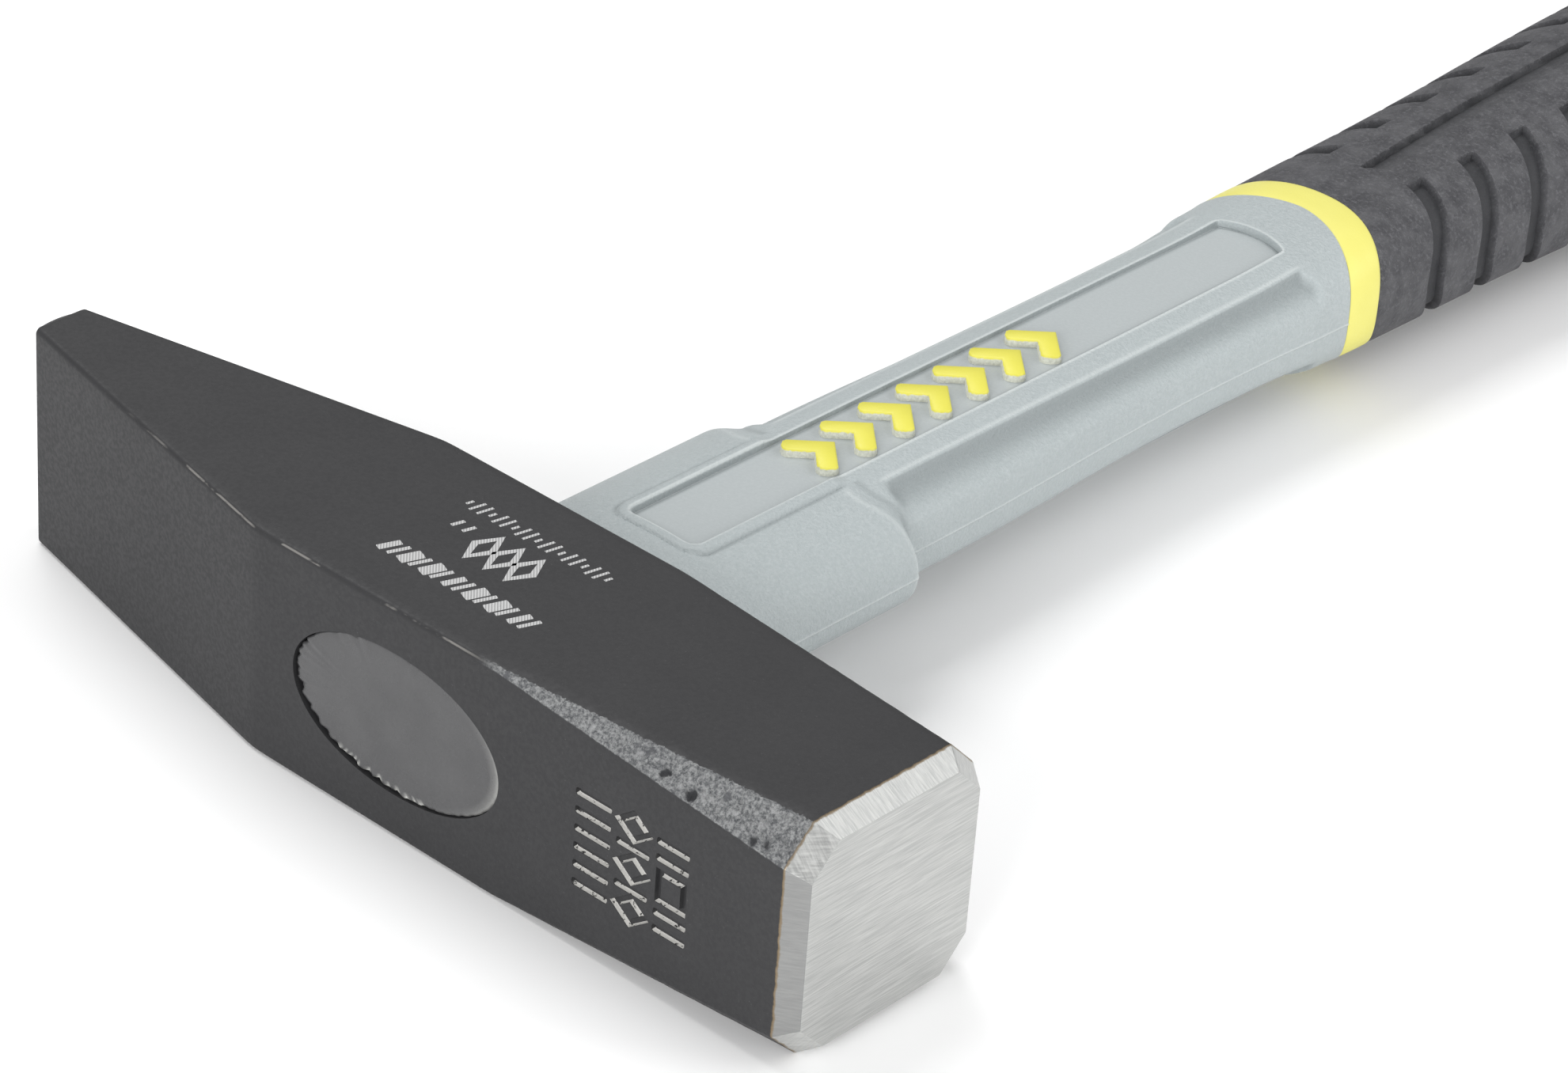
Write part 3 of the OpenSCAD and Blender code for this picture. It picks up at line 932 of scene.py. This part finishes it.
def steel_material():
    n = Nodes("forged_steel")
    across_z = n.math("ABSOLUTE", n.sub(n.z, MID_Z))
    across_y = n.math("ABSOLUTE", n.y)
    height = n.sub(HALF, n.mul(n.math("MAXIMUM", n.sub(BEND_X, n.x), 0.0), PEIN_SLOPE))
    cut_depth = n.math("MAXIMUM", n.mul(n.sub(n.x, CUT_START), CUT_SLOPE), EDGE_CUT)
    inside = n.sub(n.sub(n.add(height, HALF), cut_depth), n.add(across_y, across_z))
    on_cheek = n.ramp(n.sub(across_z, across_y), -0.3, 0.3)
    ragged = n.mul(n.sub(n.noise(0.55, 3, 0.6), 0.5), n.blend(on_cheek, 0.3, 1.1))
    near_top = n.mul(n.ramp(n.y, 0.0, -1.0), n.ramp(n.z, MID_Z, MID_Z + 1.0))
    in_run = n.mul(n.ramp(n.x, 11.0, 15.0), near_top)
    aside = n.sub(n.math("ABSOLUTE", n.sub(across_z, across_y)), cut_depth)
    band = n.mul(n.ramp(n.add(aside, ragged), 0.16, -0.04), in_run)
    # ground striking end, past a slightly uneven line
    border = n.add(n.sub(n.x, BEVEL_X), n.mul(n.sub(n.noise(0.8, 2), 0.5), 0.35))
    ground = n.ramp(border, -0.1, 0.0)
    straw = n.mul(n.ramp(border, -0.22, -0.05), n.ramp(border, 0.14, 0.0))
    # lacquer: matte with fine speckle
    speck = n.ramp(n.noise(0.22, 2, 0.7, seed=3.0), 0.66, 0.8)
    cloud = n.noise(9.0, 3, 0.5, seed=5.0)
    lacquer = n.mix(cloud, (0.019, 0.019, 0.0205), (0.027, 0.027, 0.0285))
    lacquer = n.mix(n.mul(speck, 0.5), lacquer, (0.13, 0.13, 0.135))
    dashes = n.ramp(n.noise(1.6, 3, 0.6, stretch=(2.5, 1, 1), seed=8.0), 0.5, 0.6)
    run = n.mul(n.ramp(n.x, -52.0, -30.0), n.ramp(n.x, 14.0, 8.0))
    sharp_edge = n.ramp(n.math("ABSOLUTE", n.sub(across_z, n.add(across_y, n.sub(HALF, height)))), 0.22, 0.08)
    worn = n.mul(n.mul(n.mul(n.ramp(inside, 0.1, 0.02), dashes), run), n.mul(sharp_edge, near_top))
    lacquer = n.mix(n.mul(worn, 0.6), lacquer, (0.26, 0.25, 0.235))
    normal = n.new("ShaderNodeNewGeometry").outputs["True Normal"]
    split = n.new("ShaderNodeSeparateXYZ")
    n.put(split.inputs[0], normal)
    sunk = n.mul(n.ramp(n.y, -HALF + 0.03, -HALF + 0.1), n.ramp(n.x, 24.5, 25.0))
    sunk = n.mul(sunk, n.mul(n.ramp(n.x, 42.0, 41.5), n.ramp(across_z, 7.5, 7.0)))
    sunk = n.mul(sunk, n.ramp(n.y, -HALF + 1.5, -HALF + 1.2))
    kept = n.ramp(n.noise(0.5, 3, 0.6, seed=9.0), 0.34, 0.44)
    # bare steel in the stamped marks, shown only on walls that face up: partly real bare metal, partly a
    # painted highlight
    bare_and_lit_walls = n.mul(n.mul(sunk, n.ramp(split.outputs[2], 0.2, 0.5)), kept)
    lacquer = n.mix(bare_and_lit_walls, lacquer, (0.62, 0.61, 0.58))
    # scale on the long corner bands
    grit = n.noise(0.42, 4, 0.8, seed=11.0)
    patch = n.noise(1.7, 4, 0.65, seed=13.0)
    scale = n.mix(n.ramp(grit, 0.32, 0.68), (0.05, 0.053, 0.058), (0.29, 0.295, 0.295))
    scale = n.mix(n.ramp(patch, 0.57, 0.66, 0.0, 0.8), scale, (0.07, 0.072, 0.078))
    scale = n.mix(n.ramp(patch, 0.42, 0.34, 0.0, 0.5), scale, (0.36, 0.365, 0.365))
    # painted shade in the scale pits, with edges made ragged by the grit noise
    pit_shade = n.ramp(n.add(n.painted("tone"), n.mul(n.sub(grit, 0.5), 0.9)), 0.3, 0.6)
    scale = n.mix(pit_shade, scale, (0.03, 0.031, 0.034))
    # grinding lines: diagonal on the face, across the edge on the bevels
    face_on = n.ramp(split.outputs[0], 0.9, 0.97)
    tilt = math.radians(18)
    lines = n.noise(0.16, 3, 0.65, stretch=(1, 38, 1), turn=(tilt, 0, 0), seed=2.0)
    streaks = n.noise(0.7, 2, 0.6, stretch=(1, 18, 1), turn=(tilt, 0, 0), seed=4.0)
    facing_z = n.sub(n.math("ABSOLUTE", split.outputs[2]), n.math("ABSOLUTE", split.outputs[1]))
    facing_z = n.ramp(facing_z, -0.1, 0.1)
    along_y = n.noise(0.2, 3, 0.65, stretch=(12, 1, 12), seed=6.0)
    along_z = n.noise(0.2, 3, 0.65, stretch=(12, 12, 1), seed=7.0)
    strokes = n.blend(facing_z, along_z, along_y)
    grain = n.blend(face_on, strokes, lines)
    metal = n.mix(n.ramp(grain, 0.3, 0.7), (0.36, 0.365, 0.36), (0.55, 0.555, 0.54))
    metal = n.mix(n.mul(face_on, n.ramp(streaks, 0.35, 0.75, 0.1, 0.35)), metal, (0.4, 0.405, 0.395))
    # painted shade: facets facing −Y or +Y coloured darker, more on the −Y side
    side_facet_shade = n.add(n.ramp(split.outputs[1], -0.6, -0.8, 0.0, 0.8), n.ramp(split.outputs[1], 0.6, 0.8, 0.0, 0.6))
    metal = n.mix(side_facet_shade, metal, (0.22, 0.222, 0.22))
    colour = n.mix(band, lacquer, scale)
    colour = n.mix(ground, colour, metal)
    colour = n.mix(n.mul(straw, 0.75), colour, (0.2, 0.14, 0.07))
    rough = n.blend(band, n.ramp(n.noise(0.5, 2, seed=1.0), 0.3, 0.7, 0.5, 0.64), 0.66)
    rough = n.blend(ground, rough, n.ramp(grain, 0.3, 0.7, 0.3, 0.44))
    fine = n.noise(0.2, 2, 0.6, seed=9.0)
    skin = n.bump(fine, 0.02, 0.5)
    scaly = n.bump(n.mul(n.add(grit, patch), n.sub(1.0, ground)), 0.3, 1.0, skin)
    ground_skin = n.bump(grain, 0.035, 0.7)
    height_mix = n.new("ShaderNodeMix", data_type="VECTOR")
    n.put(height_mix.inputs["Factor"], band)
    n.put(height_mix.inputs[4], skin)
    n.put(height_mix.inputs[5], scaly)
    final = n.new("ShaderNodeMix", data_type="VECTOR")
    n.put(final.inputs["Factor"], ground)
    n.put(final.inputs[4], height_mix.outputs[1])
    n.put(final.inputs[5], ground_skin)
    return n.finish(Base_Color=colour, Roughness=rough, Metallic=n.mul(ground, 0.7), Specular_IOR_Level=0.36,
                    Normal=final.outputs[1])


def plug_material():
    n = Nodes("resin_plug")
    cloud = n.noise(5.0, 3, 0.5, seed=2.0)
    colour = n.mix(cloud, (0.045, 0.045, 0.047), (0.075, 0.075, 0.077))
    # tone lightens the resin flakes and lays a painted highlight towards the face
    colour = n.mix(n.painted("tone"), colour, (0.6, 0.6, 0.57))
    rough = n.ramp(n.noise(1.4, 3, 0.6), 0.3, 0.7, 0.2, 0.32)
    waves = n.bump(n.noise(1.1, 3, 0.6, seed=4.0), 0.03, 0.35)
    return n.finish(Base_Color=colour, Roughness=rough, Normal=waves)


def jacket_material():
    n = Nodes("moulded_jacket")
    inside = n.sub(PANEL_HALF - 0.05, n.math("ABSOLUTE", n.x))
    up = n.math("ABSOLUTE", n.sub(n.z, MID_Z))
    panel = n.mul(n.ramp(inside, 0.0, 0.15), n.ramp(up, PANEL_FLOOR + 0.2, PANEL_FLOOR + 0.08))
    along = n.mul(n.ramp(n.y, PANEL_START, PANEL_START + 0.4), n.ramp(n.y, PANEL_END, PANEL_END - 0.5))
    panel = n.mul(panel, along)
    grain = n.noise(0.4, 3, 0.7)
    cloud = n.noise(16.0, 3, 0.5, seed=3.0)
    colour = n.mix(cloud, (0.338, 0.376, 0.383), (0.366, 0.405, 0.411))
    colour = n.mix(n.ramp(grain, 0.35, 0.75, 0.0, 0.5), colour, (0.465, 0.5, 0.507))
    colour = n.mix(n.mul(panel, 0.6), colour, (0.41, 0.436, 0.442))
    # painted highlights where tone is above 0, painted shade where it is below 0
    tone = n.painted("tone")
    colour = n.mix(n.ramp(tone, 0.0, 1.0, 0.0, 0.5), colour, (0.62, 0.655, 0.65))
    colour = n.mix(n.ramp(tone, 0.0, -1.0, 0.0, 0.65), colour, (0.2, 0.225, 0.23))
    rough = n.blend(panel, n.ramp(grain, 0.3, 0.7, 0.42, 0.56), 0.27)
    rough_bump = n.bump(n.mul(grain, n.sub(1.0, n.mul(panel, 0.85))), 0.17, 0.9)
    return n.finish(Base_Color=colour, Roughness=rough, Normal=rough_bump)


def yellow_material(name, low, high, top_z=None):
    n = Nodes(name)
    grain = n.noise(0.3, 3, 0.6)
    cloud = n.noise(6.0, 2, 0.5, seed=2.0)
    colour = n.mix(cloud, srgb(*low), srgb(*high))
    rough = n.ramp(grain, 0.3, 0.7, 0.4, 0.55)
    if top_z is not None:
        wander = n.mul(n.sub(n.noise(0.6, 3, 0.6, seed=5.0), 0.5), 0.5)
        bare = n.ramp(n.add(n.z, wander), top_z - 0.14, top_z - 0.3)
        colour = n.mix(bare, colour, n.mix(grain, srgb(150, 152, 142), srgb(228, 230, 215)))
    return n.finish(Base_Color=colour, Roughness=rough, Normal=n.bump(grain, 0.03, 0.5))


def rubber_material():
    n = Nodes("grip_rubber")
    grain = n.noise(0.5, 4, 0.75)
    cloud = n.noise(3.2, 4, 0.65, seed=3.0)
    colour = n.mix(n.ramp(cloud, 0.3, 0.7), (0.034, 0.034, 0.039), (0.074, 0.074, 0.08))
    colour = n.mix(n.ramp(grain, 0.45, 0.75, 0.0, 0.7), colour, (0.15, 0.15, 0.16))
    # painted shade: groove floors coloured darker
    groove = n.painted("tone")
    colour = n.mix(n.mul(groove, 0.75), colour, (0.022, 0.023, 0.026))
    rough = n.ramp(grain, 0.3, 0.7, 0.62, 0.82)
    pebbles = n.bump(n.mul(grain, n.ramp(groove, 0.0, 1.0, 1.0, 0.3)), 0.2, 0.9)
    return n.finish(Base_Color=colour, Roughness=rough, Normal=pebbles)


def print_material():
    n = Nodes("printed_ink")
    wave = n.new("ShaderNodeTexWave", wave_type="BANDS", bands_direction="DIAGONAL")
    n.put(wave.inputs["Vector"], n.mm)
    wave.inputs["Scale"].default_value = 1.5
    wave.inputs["Distortion"].default_value = 0.4
    worn = n.noise(0.5, 3, 0.6)
    ink = n.mix(n.ramp(wave.outputs["Fac"], 0.1, 0.5), (0.24, 0.24, 0.24), (0.47, 0.47, 0.47))
    ink = n.mix(n.ramp(worn, 0.6, 0.75, 0.0, 0.5), ink, (0.2, 0.2, 0.2))
    rough = n.ramp(worn, 0.3, 0.7, 0.5, 0.65)
    return n.finish(Base_Color=ink, Roughness=rough, Normal=n.bump(worn, 0.01, 0.4))


def core_material():
    n = Nodes("glass_fibre_core")
    fibre = n.noise(0.25, 3, 0.7, stretch=(1, 60, 1))
    colour = n.mix(fibre, (0.42, 0.38, 0.22), (0.66, 0.62, 0.42))
    rough = n.ramp(fibre, 0.3, 0.7, 0.35, 0.5)
    return n.finish(Base_Color=colour, Roughness=rough, Normal=n.bump(fibre, 0.04, 0.6))


def floor_material():
    n = Nodes("pale_floor")
    cloud = n.noise(90.0, 2, 0.5)
    colour = n.mix(cloud, (0.93, 0.93, 0.93), (0.95, 0.95, 0.95))
    rough = n.ramp(cloud, 0.3, 0.7, 0.75, 0.85)
    return n.finish(Base_Color=colour, Roughness=rough, Normal=n.bump(cloud, 0.02, 0.1))


# ---------------------------------------------------------------- camera, light and floor

CAMERA_AT = (307.51, -315.47, 299.83)
AZIMUTH, ELEVATION, ROLL, LENS = 40.519, 31.296, 4.319, 118.418


def place_camera():
    a, e, r = (math.radians(v) for v in (AZIMUTH, ELEVATION, ROLL))
    back = Vector((math.sin(a) * math.cos(e), -math.cos(a) * math.cos(e), math.sin(e)))
    right = Vector((math.cos(a), math.sin(a), 0))
    up = back.cross(right)
    side = math.cos(r) * right + math.sin(r) * up
    top = -math.sin(r) * right + math.cos(r) * up
    data = bpy.data.cameras.new("camera")
    data.lens, data.sensor_width, data.sensor_fit = LENS, 36, "HORIZONTAL"
    data.clip_start, data.clip_end = 0.01, 10
    camera = bpy.data.objects.new("camera", data)
    bpy.context.scene.collection.objects.link(camera)
    turn = Matrix((side, top, back)).transposed().to_4x4()
    camera.matrix_world = Matrix.Translation(Vector(CAMERA_AT) * MM) @ turn
    bpy.context.scene.camera = camera


def area_light(name, place, aim, size, power):
    data = bpy.data.lights.new(name, "AREA")
    data.shape, data.size, data.energy = "SQUARE", size, power
    light = bpy.data.objects.new(name, data)
    bpy.context.scene.collection.objects.link(light)
    light.location = Vector(place)
    light.rotation_euler = (Vector(place) - Vector(aim)).to_track_quat("Z", "Y").to_euler()


def build_stage():
    world = bpy.data.worlds.new("studio")
    world.use_nodes = True
    world.node_tree.nodes["Background"].inputs["Color"].default_value = (1, 1, 1, 1)
    world.node_tree.nodes["Background"].inputs["Strength"].default_value = 0.41
    bpy.context.scene.world = world
    bpy.context.scene.view_settings.view_transform = "Standard"
    middle = (0.0, 0.1, 0.0)
    area_light("top_light", (-0.7, 0.2, 1.3), middle, 0.9, 12)
    area_light("front_light", (0.3, -1.3, 0.5), middle, 0.8, 17)
    area_light("side_light", (1.3, 0.0, 0.45), middle, 0.8, 5)
    area_light("back_light", (0.9, 1.0, 0.9), middle, 1.1, 9)
    half, cells = 1500.0, 8
    line = np.linspace(-half, half, cells + 1)
    verts = [(x, y, 0.0) for y in line for x in line]
    row = cells + 1
    corners = [j * row + i for j in range(cells) for i in range(cells)]
    faces = [(c, c + 1, c + row + 1, c + row) for c in corners]
    mesh_object("floor", verts, faces, [floor_material()])


# ---------------------------------------------------------------- assembly

place_camera()
build_stage()
badge_top = MID_Z + PANEL_FLOOR + BADGE_RISE
badge_yellow = yellow_material("badge_yellow", (203, 197, 68), (216, 210, 84), badge_top)
band_yellow = yellow_material("band_yellow", (214, 208, 104), (223, 217, 118))

parts = [
    (build_head([steel_material()]), "head", "head"),
    (build_plug(plug_material()), "eye_fill", "eye_fill"),
    (build_jacket(jacket_material()), "jacket", "jacket"),
    (build_badge(badge_yellow), "badge_marks", "badge_marks"),
    (build_band(band_yellow), "band", "band"),
    (build_grip(rubber_material()), "grip", "grip"),
]
for piece, node, slot in parts:
    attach(piece, "root")
    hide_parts(node)
marks = build_print(print_material())
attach(marks, "root")

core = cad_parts["core"]
core.data.materials.clear()
core.data.materials.append(core_material())
